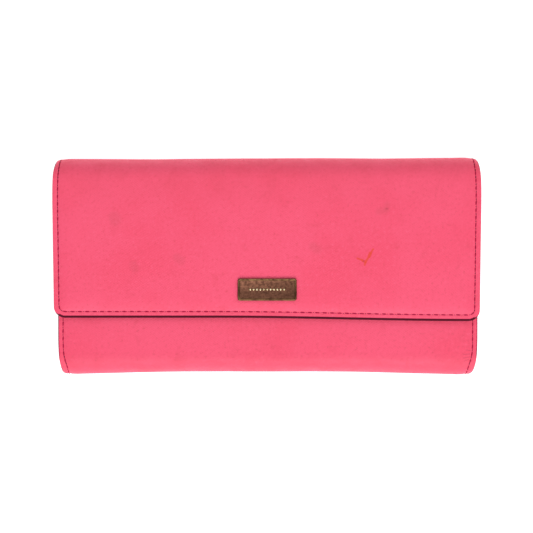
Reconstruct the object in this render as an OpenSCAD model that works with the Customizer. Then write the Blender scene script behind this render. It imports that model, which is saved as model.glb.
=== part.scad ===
// Long flap wallet, lying closed on its back.
// +X runs along its length, +Y from the bottom fold to the top fold, +Z up through the leaves.
// The origin is the centre of its footprint, on the surface it lies on.
// From the floor up: back leaf with card slots, first note compartment, zipped coin divider,
// second note compartment, front leaf, and the flap that comes over from the top fold.

/* [Overall] */
// Height of the closed wallet, from fold to fold
wallet_h = 96; // [94:0.5:104]
// Width of the flap where it is widest
flap_w = 190.5; // [189:0.5:196]
// Width that the flap loses by its free edge
flap_taper = 1.7; // [0:0.1:3]
// Depth of the flap, from the top fold to its free edge
flap_depth = 70.1; // [62:0.5:74]
// Width of the front leaf
front_w = 186; // [184:0.5:188]
// Width of the back leaf
back_w = 187; // [185:0.5:189]

/* [Folds] */
// Outside radius of the top fold's corners
top_fold_r = 9; // [7:0.5:9]
// Outside radius of the bottom fold's corners
bottom_fold_r = 8; // [6:0.5:8]
// How far each side is drawn in at the top fold
top_neck = 2.2; // [0:0.1:3]
// How far each side is drawn in at the bottom fold
bottom_neck = 2.8; // [0:0.1:4]

/* [Layers] */
// Thickness of the outer leather
leather_t = 1.2; // [1:0.1:1.2]
// Thickness of the stiffening boards in the back and front leaves
board_t = 0.8; // [0.6:0.1:0.8]
// Thickness of the lining
lining_t = 0.3; // [0.2:0.05:0.3]
// Thickness of one card slot panel
slot_t = 0.5; // [0.4:0.05:0.5]
// Clear height of each note compartment
compartment_t = 4.6; // [4.4:0.1:6]
// Thickness of the coin divider
divider_t = 3.8; // [3.8:0.1:4.4]

/* [Card slots] */
// Step between the tops of neighbouring slots
slot_step = 11; // [9:0.5:11]

/* [Stitching] */
// Length of one stitch and the gap after it
stitch_pitch = 3.3; // [3:0.1:4]
// Distance of the stitching from the edge
stitch_inset = 2.2; // [2:0.1:2.6]

/* [Plaque] */
// Length of the metal plaque
plaque_l = 26.1; // [20:0.1:30]
// Width of the metal plaque
plaque_d = 9.8; // [8:0.1:12]

/* [Hidden] */
eps = 0.01;
touch_gap = 0.15;
// How far a cutter reaches past the face that it cuts
past = 1;
slot_count = 4;

// Heights of the layers, from the floor up
back_board_z = leather_t;
back_lining_z = back_board_z + board_t;
slots_z = back_lining_z + lining_t;
divider_z = slots_z + slot_count*slot_t + compartment_t;
divider_mid = divider_z + divider_t/2;
pocket_z = divider_z + divider_t + compartment_t;
pocket_t = 0.5;
pocket_top_y = 22;
pocket_trim_d = 5;
pocket_trim_t = 0.4;
front_lining_z = pocket_z + pocket_t;
front_board_z = front_lining_z + lining_t;
front_leather_z = front_board_z + board_t;
front_top = front_leather_z + leather_t;
flap_gap = 1.7;
flap_lining_z = front_top + flap_gap;
flap_board_z = flap_lining_z + lining_t;
flap_board_t = 0.7;
flap_leather_z = flap_board_z + flap_board_t;
flap_top = flap_leather_z + leather_t;

// Where the folds begin, and the two corner centres of each
top_y = wallet_h/2 - top_fold_r;
bottom_y = -wallet_h/2 + bottom_fold_r;
top_low = [top_y, top_fold_r];
top_high = [top_y, flap_top - top_fold_r];
bottom_low = [bottom_y, bottom_fold_r];
bottom_high = [bottom_y, front_top - bottom_fold_r];
// Angle left open on each side of a crease, so that the bodies never touch
crease = 1.2;

flap_edge_y = wallet_h/2 - flap_depth;
flap_corner_r = 3.6;
front_edge_y = top_y - 3;
front_corner_r = 4;
neck_span = 20;

// Insides of the leaves
board_half = back_w/2 - 4;
lining_half = back_w/2 - 3;
slot_half = 88.4;
pocket_half = slot_half - 2;
slot_middle = 0.4;
slot_bottom = bottom_y + 2.5;
first_slot_top = -4;
edge_step = 1;

// Coin divider and its zip
divider_half = 89.6;
divider_bottom = bottom_y + 2;
divider_top = 27.4;
wall_t = 0.7;
binding_w = 1.4;
tape_t = 0.4;
tape_depth = 8;
tape_half = 82;
tooth_y = divider_top + 0.1;
tooth_h = 1.6;
tooth_l = 2;
tooth_pitch = 3;
teeth_half = 73;
slit = 0.6;
tooth_z = 1.4;
stop_l = 2.4;
stop_x = 76.5;

slider_x = 66;
slider_l = 9;
slider_half = 3.2;
slider_plate_y = tooth_y + tooth_h + 0.2;
slider_plate_t = 1.2;
flange_in = 2.15;
ear_in = 1.1;
ear_out = 1.8;
pull_axis_x = slider_x - 0.5;
pull_axis_y = slider_plate_y + slider_plate_t + 1.4;
pull_pin_r = 0.5;
pull_bore_r = 0.55;
pull_eye_r = 1.2;
pull_l = 13.4;
pull_half = 2;
pull_t = 1;

// Snap, and the plaque over it
snap_y = -12.5;
stud_r = 2.8;
socket_bore_r = 3.3;
socket_r = 5.6;
socket_h = 1.2;
post_r = 3.7;
hole_r = 3.8;
flange_r = 5;
stud_flange_t = 0.35;
rivet_r = 1.5;
rivet_bore_r = 1.6;
plaque_y = flap_edge_y + 7.1 + plaque_d/2;
plaque_t = 1.1;
plaque_rim = 0.9;
plaque_rim_h = 0.3;
prong_x = 9;
prong = [0.6, 2];
bead_count = 11;
bead_r = 0.42;
bead_pitch = 1.5;

// Side gussets: a W of soft sheet, seen from the mouth
gusset_t = 0.4;
gusset_out = 90.2;
gusset_in = 81.2;
gusset_flange = 88.8;
gusset_top = 33;
gusset_bottom = bottom_y + 1;

stitch_w = 0.55;
stitch_l = 2.5;
stitch_h = 0.25;
groove_w = 0.9;
groove_depth = 0.35;
seam_end = 2;

PINK = "#f85f80";
LINING = "#d9c7b8";
BOARD = "#b09a7c";
GOLD = "#b58a52";
BRONZE = "#7d5a43";
THREAD = "#c8305c";

// ---- plane geometry ----

function unit(v) = v/norm(v);
function clamp01(t) = max(0, min(1, t));
function arc(c, r, a, b, n = 8) = [for (i = [0:n]) c + r*[cos(a + (b - a)*i/n), sin(a + (b - a)*i/n)]];
function backwards(p) = [for (i = [len(p) - 1:-1:0]) p[i]];
function both_sides(p) = concat(p, [for (q = backwards(p)) [-q.x, q.y]]);

// Mitred normal of a path at one of its points
function normal_at(p, i) =
    let (
        a = unit(i > 0 ? p[i] - p[i - 1] : p[1] - p[0]),
        b = unit(i < len(p) - 1 ? p[i + 1] - p[i] : p[i] - p[i - 1]),
        n = unit([-a.y - b.y, a.x + b.x])
    )
    n/(n*[-a.y, a.x]);

// Outline of a sheet of thickness t that follows a path
function strip(p, t) = concat(
    [for (i = [0:len(p) - 1]) p[i] + normal_at(p, i)*t/2],
    [for (i = [len(p) - 1:-1:0]) p[i] - normal_at(p, i)*t/2]
);

// How far a side is drawn in near each fold
function draw_in_top(y) = top_neck*pow(clamp01((y - wallet_h/2 + neck_span)/neck_span), 3);
function draw_in_bottom(y) = bottom_neck*pow(clamp01((-wallet_h/2 + neck_span - y)/neck_span), 3);

function flap_half(y) =
    let (widest_y = wallet_h/2 - neck_span)
    flap_w/2 - draw_in_top(y) - flap_taper/2*clamp01((widest_y - y)/(widest_y - flap_edge_y));
function front_half(y) = front_w/2 - draw_in_bottom(y);
function back_half(y) = back_w/2 - draw_in_top(y)/2 - draw_in_bottom(y);

// Half outlines, right side, from the top down; i is how far they are drawn in from the edge
function flap_side(i) = concat(
    [for (y = [wallet_h/2 - i:-4:flap_edge_y + flap_corner_r + 2]) [flap_half(y) - i, y]],
    arc(
        [flap_half(flap_edge_y) - flap_corner_r, flap_edge_y + flap_corner_r],
        flap_corner_r - i, 0, -90
    )
);
function front_side(i) = concat(
    [[0, front_edge_y - i]],
    arc([front_half(0) - front_corner_r, front_edge_y - front_corner_r], front_corner_r - i, 90, 0),
    [for (y = [front_edge_y - front_corner_r - 4:-4:-wallet_h/2]) [front_half(y) - i, y]]
);
function back_side(i) = [for (y = [wallet_h/2:-4:-wallet_h/2]) [back_half(y) - i, y]];

// ---- helpers in space ----

module along_x(w) {
    translate([-w/2, 0, 0]) rotate([90, 0, 90]) linear_extrude(w) children();
}

module slab(half, y0, y1, z, t) {
    translate([-half, y0, z]) cube([2*half, y1 - y0, t]);
}

// A sheet bent along a path in the Y-Z plane and cut to a half outline in plan
module bent_sheet(path, t, side) {
    intersection() {
        along_x(2*flap_w) polygon(strip(path, t));
        translate([0, 0, -past]) linear_extrude(flap_top + 2*past) polygon(both_sides(side));
    }
}

// The band that a row of stitches lies in, between two outlines, within the leaf's flat part
module seam_band(outer, inner, z, t, y0, y1) {
    translate([0, 0, z]) linear_extrude(t) intersection() {
        difference() {
            polygon(both_sides(outer));
            polygon(both_sides(inner));
        }
        translate([-flap_w, y0]) square([2*flap_w, y1 - y0]);
    }
}

module stitch(x, y, z, angle, l = stitch_l) {
    translate([x, y, z]) rotate(angle)
        translate([-l/2, -stitch_w/2, 0]) cube([l, stitch_w, stitch_h]);
}

// Two rows of stitches that follow a leaf's sides; half is its half width at each height
module side_stitches(half, y0, y1, z) {
    for (y = [y0:stitch_pitch:y1], side = [-1, 1])
        stitch(side*(half(y) - stitch_inset), y, z, 90);
}

module row_stitches(half, y, z) {
    n = floor(half/stitch_pitch);
    for (i = [-n:n]) stitch(i*stitch_pitch, y, z, 0);
}

// ---- back leaf ----

module back_leather() {
    mid = leather_t/2;
    path = concat(
        arc(top_low, top_fold_r - mid, -45 - crease, -90, 6),
        arc(bottom_low, bottom_fold_r - mid, -90, -180, 10),
        arc(bottom_high, bottom_fold_r - mid, -180, -225 + crease, 6)
    );
    color(PINK) difference() {
        bent_sheet(path, leather_t, back_side(0));
        seam_band(
            back_side(stitch_inset - groove_w/2), back_side(stitch_inset + groove_w/2),
            -eps, groove_depth + eps, bottom_y + seam_end, top_y - seam_end
        );
    }
}

module back_board() {
    color(BOARD) slab(board_half, bottom_y + 2, top_y - 2, back_board_z, board_t);
}

module back_lining() {
    color(LINING) slab(lining_half, bottom_y + edge_step, top_y - edge_step/2, back_lining_z, lining_t);
}

module bottom_fold_lining() {
    r = bottom_fold_r - leather_t - touch_gap - lining_t/2;
    path = concat(arc(bottom_low, r, -90, -180, 10), arc(bottom_high, r, -180, -222, 6));
    color(LINING) bent_sheet(path, lining_t, back_side(3));
}

module back_stitching() {
    color(THREAD) side_stitches(
        function (y) back_half(y), bottom_y + seam_end + 2, top_y - seam_end - 2,
        groove_depth - stitch_h
    );
}

// One card slot: side is -1 for the left column, and slot 1 is the lowest and nearest the reader
module card_slot(side, number) {
    top = first_slot_top + (number - 1)*slot_step;
    x0 = side < 0 ? -slot_half : slot_middle;
    color(PINK) translate([x0, slot_bottom, slots_z + (slot_count - number)*slot_t])
        cube([slot_half - slot_middle, top - slot_bottom, slot_t]);
}

module id_pocket_film() {
    color("lightcyan") translate([slot_middle, slot_bottom, slots_z + (slot_count - 1)*slot_t])
        cube([slot_half - slot_middle, first_slot_top - slot_bottom, slot_t/2]);
}

module id_pocket_trim() {
    trim_d = 5;
    color(PINK) translate([
        slot_middle, first_slot_top - trim_d, slots_z + (slot_count - 1)*slot_t + slot_t/2
    ])
        cube([slot_half - slot_middle, trim_d, slot_t/2]);
}

// ---- gussets ----

// Each pleat folds inwards at the middle of one compartment, and the divider's edge is sewn between them
module gusset(side) {
    half_t = gusset_t/2;
    pleat_gap = 0.3;
    flange_z = front_lining_z - touch_gap - half_t;
    // Where each pleat leaves the vertical, from the back leaf up
    z = [
        slots_z + slot_count*slot_t, divider_z - pleat_gap,
        divider_z + divider_t + pleat_gap, pocket_z - 2*gusset_t
    ];
    path = [
        [gusset_flange, slots_z + half_t], [gusset_out, slots_z + half_t],
        [gusset_out, z[0]], [gusset_in, (z[0] + z[1])/2], [gusset_out, z[1]],
        [gusset_out, z[2]], [gusset_in, (z[2] + z[3])/2], [gusset_out, z[3]],
        [gusset_out, flange_z], [gusset_flange, flange_z]
    ];
    profile = [for (p = strip(path, gusset_t)) [side*p.x, p.y]];
    color(PINK) translate([0, gusset_top, 0]) rotate([90, 0, 0])
        linear_extrude(gusset_top - gusset_bottom) polygon(profile);
}

// ---- coin divider ----

module coin_wall(z) {
    color(PINK) slab(divider_half, divider_bottom, divider_top, z, wall_t);
}

module coin_side_binding(side) {
    color(PINK) translate([
        side < 0 ? -divider_half : divider_half - binding_w, divider_bottom + binding_w,
        divider_z + wall_t
    ])
        cube([binding_w, divider_top - divider_bottom - binding_w, divider_t - 2*wall_t]);
}

module coin_bottom_binding() {
    color(PINK) slab(
        divider_half, divider_bottom, divider_bottom + binding_w, divider_z + wall_t, divider_t - 2*wall_t
    );
}

// side is -1 for the part of the zip on the back wall, and 1 on the front wall
module zip_tape(side) {
    z = divider_mid + side*(divider_t/2 - wall_t - tape_t/2) - tape_t/2;
    color(LINING) slab(tape_half, tooth_y - tape_depth, tooth_y, z, tape_t);
}

module zip_teeth(side) {
    z = divider_mid + side*(slit + tooth_z)/2 - tooth_z/2;
    color(GOLD) for (x = [-teeth_half:tooth_pitch:teeth_half - tooth_l])
        translate([x + (side > 0 ? tooth_pitch/2 : 0), tooth_y, z]) cube([tooth_l, tooth_h, tooth_z]);
}

module zip_stops() {
    z0 = divider_mid - slit/2 - tooth_z;
    color(GOLD) {
        translate([-stop_x - stop_l/2, tooth_y, z0]) cube([stop_l, tooth_h, slit + 2*tooth_z]);
        for (z = [z0, divider_mid + slit/2])
            translate([stop_x - stop_l/2, tooth_y, z]) cube([stop_l, tooth_h, tooth_z]);
    }
}

module zip_slider() {
    x0 = slider_x - slider_l/2;
    flange_y = divider_top - 0.7;
    post_l = 2.4;
    post_half = 0.2;
    sole_y = divider_top - 1.4;
    sole_half = 0.65;
    color(GOLD) {
        translate([x0, slider_plate_y, divider_mid - slider_half])
            cube([slider_l, slider_plate_t, 2*slider_half]);
        for (z = [divider_mid - slider_half, divider_mid + flange_in])
            translate([x0 + 1, flange_y, z])
                cube([slider_l - 2, slider_plate_y - flange_y + eps, slider_half - flange_in]);
        translate([x0 + slider_l - 1 - post_l, sole_y, divider_mid - post_half])
            cube([post_l, slider_plate_y - sole_y + eps, 2*post_half]);
        translate([x0 + 1, sole_y, divider_mid - sole_half])
            cube([slider_l - 2, tooth_y - sole_y - 0.1, 2*sole_half]);
        for (side = [-1, 1]) slider_ear(side);
    }
}

module slider_ear(side) {
    ear_l = 3;
    ear_top = 0.9;
    ear_t = ear_out - ear_in;
    difference() {
        translate([
            pull_axis_x - ear_l/2, slider_plate_y + slider_plate_t - eps,
            divider_mid + side*(ear_in + ear_t/2) - ear_t/2
        ])
            cube([ear_l, pull_axis_y + ear_top - slider_plate_y - slider_plate_t + eps, ear_t]);
        translate([pull_axis_x, pull_axis_y, divider_mid - ear_out - past])
            cylinder(r = pull_pin_r, h = 2*(ear_out + past), $fn = 48);
    }
}

module zip_pull_pin() {
    color(GOLD) translate([pull_axis_x, pull_axis_y, divider_mid - ear_out])
        cylinder(r = pull_pin_r, h = 2*ear_out, $fn = 48);
}

module zip_pull() {
    eye_half = ear_in - 0.12;
    neck_l = 2.3;
    window_r = 1.1;
    color(GOLD) translate([pull_axis_x, pull_axis_y, divider_mid]) difference() {
        union() {
            translate([0, 0, -eye_half]) cylinder(r = pull_eye_r, h = 2*eye_half, $fn = 48);
            translate([-neck_l - 1, -pull_t/2, -eye_half]) cube([neck_l + 1, pull_t, 2*eye_half]);
            translate([0, pull_t/2, 0]) rotate([90, 0, 0]) linear_extrude(pull_t) {
                translate([pull_half - pull_l, -pull_half])
                    square([pull_l - pull_half - neck_l, 2*pull_half]);
                translate([pull_half - pull_l, 0]) circle(r = pull_half, $fn = 48);
            }
        }
        translate([0, 0, -eye_half - past]) cylinder(r = pull_bore_r, h = 2*(eye_half + past), $fn = 48);
        translate([pull_half - pull_l, pull_t, 0]) rotate([90, 0, 0])
            cylinder(r = window_r, h = 2*pull_t, $fn = 48);
    }
}

// ---- front leaf ----

module front_leather() {
    mid = leather_t/2;
    path = concat(
        [[front_edge_y + 5, front_top - mid]],
        arc(bottom_high, bottom_fold_r - mid, 90, 135 - crease, 6)
    );
    color(PINK) difference() {
        bent_sheet(path, leather_t, front_side(0));
        seam_band(
            front_side(stitch_inset - groove_w/2), front_side(stitch_inset + groove_w/2),
            front_top - groove_depth, groove_depth + eps, bottom_y + seam_end, front_edge_y
        );
        snap_hole(front_top, leather_t);
    }
}

// Hole for the snap in a layer of thickness t whose top is at z
module snap_hole(z, t) {
    translate([0, snap_y, z - t - past]) cylinder(r = hole_r, h = t + 2*past, $fn = 64);
}

module front_board() {
    color(BOARD) difference() {
        slab(board_half, bottom_y + 2, front_edge_y - 1.5, front_board_z, board_t);
        snap_hole(front_leather_z, board_t);
    }
}

module front_lining() {
    color(LINING) difference() {
        slab(lining_half - 0.2, bottom_y + edge_step, front_edge_y - 0.8, front_lining_z, lining_t);
        translate([0, snap_y, front_lining_z - past])
            cylinder(r = flange_r + 0.1, h = lining_t + 2*past, $fn = 64);
    }
}

module front_slip_pocket() {
    color(LINING) slab(pocket_half, slot_bottom, pocket_top_y, pocket_z, pocket_t);
}

module front_pocket_trim() {
    color(PINK) slab(
        pocket_half, pocket_top_y - pocket_trim_d, pocket_top_y, pocket_z - pocket_trim_t, pocket_trim_t
    );
}

module front_stitching() {
    z = front_top - groove_depth;
    color(THREAD) {
        side_stitches(
            function (y) front_half(y), bottom_y + seam_end + 2, front_edge_y - front_corner_r - 2, z
        );
        row_stitches(front_w/2 - front_corner_r - 2, front_edge_y - stitch_inset, z);
    }
}

module snap_socket() {
    color(GOLD) translate([0, snap_y, front_top]) difference() {
        union() {
            cylinder(r = socket_r, h = socket_h/2, $fn = 64);
            translate([0, 0, socket_h/2 - eps])
                cylinder(r = socket_r - 0.8, h = socket_h/2 + eps, $fn = 64);
        }
        translate([0, 0, -past]) cylinder(r = socket_bore_r, h = socket_h + 2*past, $fn = 64);
    }
}

module snap_socket_post() {
    color(GOLD) translate([0, snap_y, 0]) difference() {
        union() {
            translate([0, 0, front_lining_z]) cylinder(r = flange_r, h = lining_t, $fn = 64);
            translate([0, 0, front_lining_z + lining_t - eps])
                cylinder(r = post_r, h = front_top - front_lining_z - lining_t + eps, $fn = 64);
        }
        translate([0, 0, front_lining_z + lining_t])
            cylinder(r = socket_bore_r, h = front_top - front_lining_z, $fn = 64);
    }
}

// ---- top fold ----

module top_fold_sheet(r, t, side_in) {
    path = concat(
        arc(top_low, r - t/2, -45 + crease, 0, 6),
        arc(top_high, r - t/2, 0, 45 - crease, 6)
    );
    half = (back_half(wallet_h/2) + flap_half(wallet_h/2))/2 - side_in;
    along_x(2*half) polygon(strip(path, t));
}

module top_fold_leather() {
    color(PINK) top_fold_sheet(top_fold_r, leather_t, 0);
}

module top_fold_lining() {
    color(LINING) top_fold_sheet(top_fold_r - leather_t - touch_gap, lining_t, 2);
}

// ---- flap ----

module flap_leather() {
    mid = leather_t/2;
    path = concat(
        [[flap_edge_y - 5, flap_top - mid]],
        arc(top_high, top_fold_r - mid, 90, 45 + crease, 6)
    );
    color(PINK) difference() {
        bent_sheet(path, leather_t, flap_side(0));
        seam_band(
            flap_side(stitch_inset - groove_w/2), flap_side(stitch_inset + groove_w/2),
            flap_top - groove_depth, groove_depth + eps, flap_edge_y, top_y - seam_end
        );
        prong_slots();
        translate([0, snap_y, flap_leather_z - eps]) cylinder(r = flange_r - 0.5, h = 0.4, $fn = 64);
    }
}

// The two slots that the plaque's prongs pass through
module prong_slots() {
    for (x = [-prong_x, prong_x])
        translate([x - prong.x/2 - 0.1, plaque_y - prong.y/2 - 0.1, flap_lining_z])
            cube([prong.x + 0.2, prong.y + 0.2, flap_top - flap_lining_z + 1]);
}

module flap_board() {
    plate_room = [5.2, 4.2, 0.35];
    color(BOARD) difference() {
        slab(flap_w/2 - 6, flap_edge_y + 4, top_y - 2, flap_board_z, flap_board_t);
        prong_slots();
        translate([0, snap_y, flap_board_z - past])
            cylinder(r = rivet_bore_r, h = flap_board_t + 2*past, $fn = 48);
        for (side = [-1, 1])
            translate([side*prong_x - plate_room.x/2, plaque_y - plate_room.y/2, flap_board_z - eps])
                cube(plate_room);
    }
}

module flap_lining() {
    color(LINING) difference() {
        slab(flap_w/2 - 3.2, flap_edge_y + 1.2, top_y - edge_step/2, flap_lining_z, lining_t);
        translate([0, snap_y, flap_lining_z - past])
            cylinder(r = rivet_bore_r, h = lining_t + 2*past, $fn = 48);
    }
}

module flap_stitching() {
    z = flap_top - groove_depth;
    corner = flap_corner_r - stitch_inset - 0.1;
    corner_l = 1.6;
    corner_x = flap_half(flap_edge_y) - flap_corner_r;
    color(THREAD) {
        side_stitches(
            function (y) flap_half(y), flap_edge_y + flap_corner_r + 2.2, top_y - seam_end - 2, z
        );
        row_stitches(corner_x - 1, flap_edge_y + stitch_inset, z);
        for (side = [-1, 1])
            stitch(
                side*(corner_x + corner*cos(45)), flap_edge_y + flap_corner_r - corner*sin(45),
                z, side*45, corner_l
            );
    }
}

module snap_stud() {
    neck_h = 0.5;
    head_h = 1.2;
    neck_r = stud_r - 0.5;
    color(GOLD) translate([0, snap_y, flap_lining_z]) rotate([180, 0, 0]) {
        cylinder(r = flange_r, h = stud_flange_t, $fn = 64);
        translate([0, 0, stud_flange_t - eps]) cylinder(r = neck_r, h = neck_h + 2*eps, $fn = 64);
        translate([0, 0, stud_flange_t + neck_h]) cylinder(r = stud_r, h = head_h - 0.4, $fn = 64);
        translate([0, 0, stud_flange_t + neck_h + head_h - 0.4 - eps])
            cylinder(r1 = stud_r, r2 = stud_r - 0.7, h = 0.4, $fn = 64);
    }
}

module snap_stud_rivet() {
    head_t = 0.3;
    color(GOLD) translate([0, snap_y, flap_lining_z]) {
        cylinder(r = rivet_r, h = flap_leather_z - flap_lining_z + eps, $fn = 48);
        translate([0, 0, flap_leather_z - flap_lining_z])
            cylinder(r = flange_r - 0.8, h = head_t, $fn = 64);
    }
}

module plaque() {
    color(BRONZE) translate([0, plaque_y, flap_top]) {
        difference() {
            translate([-plaque_l/2, -plaque_d/2, 0]) cube([plaque_l, plaque_d, plaque_t + plaque_rim_h]);
            translate([-plaque_l/2 + plaque_rim, -plaque_d/2 + plaque_rim, plaque_t])
                cube([plaque_l - 2*plaque_rim, plaque_d - 2*plaque_rim, 1]);
        }
        for (i = [-(bead_count - 1)/2:(bead_count - 1)/2])
            translate([i*bead_pitch, 0, plaque_t - eps]) cylinder(r = bead_r, h = plaque_rim_h, $fn = 24);
        for (x = [-prong_x, prong_x])
            translate([x - prong.x/2, -prong.y/2, flap_board_z + 0.05 - flap_top])
                cube([prong.x, prong.y, flap_top - flap_board_z]);
    }
}

module plaque_backing_plate() {
    plate = [5, 4, 0.3];
    color(GOLD) for (side = [-1, 1]) difference() {
        translate([side*prong_x - plate.x/2, plaque_y - plate.y/2, flap_board_z]) cube(plate);
        translate([side*prong_x - prong.x/2 - 0.05, plaque_y - prong.y/2 - 0.05, flap_board_z - 1])
            cube([prong.x + 0.1, prong.y + 0.1, 3]);
    }
}

back_leather();
back_board();
back_lining();
bottom_fold_lining();
back_stitching();
card_slot(-1, 1);  // card_slot_left_1
card_slot(-1, 2);  // card_slot_left_2
card_slot(-1, 3);  // card_slot_left_3
card_slot(-1, 4);  // card_slot_left_4
card_slot(1, 2);  // card_slot_right_2
card_slot(1, 3);  // card_slot_right_3
card_slot(1, 4);  // card_slot_right_4
id_pocket_film();
id_pocket_trim();
gusset(-1);  // gusset_left
gusset(1);  // gusset_right
coin_wall(divider_z);  // coin_wall_back
coin_wall(divider_z + divider_t - wall_t);  // coin_wall_front
coin_bottom_binding();
coin_side_binding(-1);  // coin_side_binding_left
coin_side_binding(1);  // coin_side_binding_right
zip_tape(-1);  // zip_tape_back
zip_tape(1);  // zip_tape_front
zip_teeth(-1);  // zip_teeth_back
zip_teeth(1);  // zip_teeth_front
zip_stops();
zip_slider();
zip_pull_pin();
zip_pull();
front_leather();
front_board();
front_lining();
front_slip_pocket();
front_pocket_trim();
front_stitching();
snap_socket();
snap_socket_post();
top_fold_leather();
top_fold_lining();
flap_leather();
flap_board();
flap_lining();
flap_stitching();
snap_stud();
snap_stud_rivet();
plaque();
plaque_backing_plate();
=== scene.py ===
"""Long flap wallet: its looks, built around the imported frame.

Lengths in this script are in millimetres, and each mesh is scaled to metres as it is made.
The leather shell is one path in the Y-Z plane. It runs from the front leaf's top edge, round the
bottom fold, along the back, round the top fold and down the flap. Every layer, seam and mark of
the shell is placed by its distance along that path.
"""
import math

import bmesh
import bpy
from mathutils import Matrix, Vector, noise
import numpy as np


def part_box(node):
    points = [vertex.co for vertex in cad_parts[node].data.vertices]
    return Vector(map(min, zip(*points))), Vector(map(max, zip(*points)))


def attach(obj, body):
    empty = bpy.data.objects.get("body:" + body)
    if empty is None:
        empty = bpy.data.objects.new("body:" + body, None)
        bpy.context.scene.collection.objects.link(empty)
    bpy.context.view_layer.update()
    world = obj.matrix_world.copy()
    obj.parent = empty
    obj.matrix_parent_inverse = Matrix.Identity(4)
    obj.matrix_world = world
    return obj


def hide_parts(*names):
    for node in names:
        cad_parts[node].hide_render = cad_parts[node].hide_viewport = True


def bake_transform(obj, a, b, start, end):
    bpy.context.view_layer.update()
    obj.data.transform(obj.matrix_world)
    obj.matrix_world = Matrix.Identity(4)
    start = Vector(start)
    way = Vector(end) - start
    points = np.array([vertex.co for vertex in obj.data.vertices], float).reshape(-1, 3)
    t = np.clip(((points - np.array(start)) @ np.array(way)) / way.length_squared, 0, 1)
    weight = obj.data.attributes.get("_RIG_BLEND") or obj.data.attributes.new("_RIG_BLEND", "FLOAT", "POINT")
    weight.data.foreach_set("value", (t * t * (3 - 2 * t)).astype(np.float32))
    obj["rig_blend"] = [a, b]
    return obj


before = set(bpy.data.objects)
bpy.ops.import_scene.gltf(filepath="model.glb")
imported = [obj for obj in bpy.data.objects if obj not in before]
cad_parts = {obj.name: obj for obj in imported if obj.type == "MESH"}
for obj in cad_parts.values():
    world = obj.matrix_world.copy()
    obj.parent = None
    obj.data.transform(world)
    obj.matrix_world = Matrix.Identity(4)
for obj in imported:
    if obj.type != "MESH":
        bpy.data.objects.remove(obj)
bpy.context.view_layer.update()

MM = 0.001
UP = Vector((0, 0, 1))


def low(node):
    return Vector(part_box(node)[0]) / MM


def high(node):
    return Vector(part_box(node)[1]) / MM


def ends(node):
    """The lowest and the highest corner of a node's box."""
    return low(node), high(node)


def middle(node):
    return (low(node) + high(node)) / 2


# ---- sizes from the frame ----

TOP_Y = high("top_fold_leather").y
BOTTOM_Y = low("back_leather").y
FLAP_Z = high("flap_leather").z
FRONT_Z = high("front_leather").z
FLAP_EDGE = low("flap_leather").y
FRONT_EDGE = high("front_leather").y
FLAP_HALF = high("flap_leather").x
FRONT_HALF = high("front_leather").x
BACK_HALF = high("back_leather").x
SLOTS_Z = low("card_slot_left_4").z
DIVIDER_LO = low("coin_wall_back")
DIVIDER_HI = high("coin_wall_front")
DIVIDER_MID = (DIVIDER_LO.z + DIVIDER_HI.z) / 2
FRONT_INSIDE = low("front_lining").z

# How thick the layers are, and the radius of each fold
LEATHER = 1.2
LINING = 0.3
LEAF_BOARD = 0.8
FLAP_BOARD = 0.7
TOP_R = 9
BOTTOM_R = 8
# How far each side draws in towards a fold, over NECK_SPAN, and how much the flap narrows to its free edge
NECK_SPAN = 20
TOP_NECK = 1.1
BOTTOM_NECK = 1.6
FLAP_TAPER = 1.5
# How much wider than its node the front is, on each side
FRONT_SPREAD = 0.35
# The radius of the free corners, and the size of the rounding at the corners of the folds
CORNER_R = 5.0
PINCH_R = 2.4
PINCH_DEPTH = 1.6
# How far in from the edge the seams run, and how far the edge paint laps over; along the flap's free edge the
# wide dark lap is edge paint and painted shadow of the gap under that edge
SEAM_INSET = 2.2
FLAP_SIDE_SEAM = 2.35
FLAP_END_SEAM = 2.75
FLAP_PAINT_AND_SHADOW_LAP = 0.95
SIDE_LAP = 0.3
# The length of a stitch with the gap after it, on the shell and inside
STITCH_PITCH = 3.3
FINE_PITCH = 2.6


def clamp(t, a=0.0, b=1.0):
    return max(a, min(b, t))


def ease(t):
    t = clamp(t)
    return t * t * (3 - 2 * t)


def mix(a, b, t):
    return a + (b - a) * t


def steps(a, b, size):
    """Evenly spaced values from a to b, about size apart."""
    n = max(1, round(abs(b - a) / size))
    return [mix(a, b, i / n) for i in range(n + 1)]


# ---- the shell's path ----


class Path:
    """Straight stretches and arcs in the Y-Z plane, joined end to end and measured by length."""

    def __init__(self):
        self.parts = []
        self.length = 0.0

    def line(self, start, end):
        size = math.dist(start, end)
        along = ((end[0] - start[0]) / size, (end[1] - start[1]) / size)
        self.parts.append(("line", self.length, size, start, along))
        self.length += size
        return self.length

    def arc(self, centre, radius, from_deg):
        """A quarter turn anticlockwise."""
        size = radius * math.pi / 2
        self.parts.append(("arc", self.length, size, centre, (radius, math.radians(from_deg))))
        self.length += size
        return self.length

    def at(self, s):
        """The point at distance s, and the outward normal there."""
        s = clamp(s, 0.0, self.length)
        reached = [part for part in self.parts if s <= part[1] + part[2] + 1e-9]
        kind, start, size, p, q = (reached or self.parts[-1:])[0]
        t = s - start
        if kind == "line":
            return (p[0] + q[0] * t, p[1] + q[1] * t), (q[1], -q[0])
        angle = q[1] + t / q[0]
        n = (math.cos(angle), math.sin(angle))
        return (p[0] + q[0] * n[0], p[1] + q[0] * n[1]), n


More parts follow.
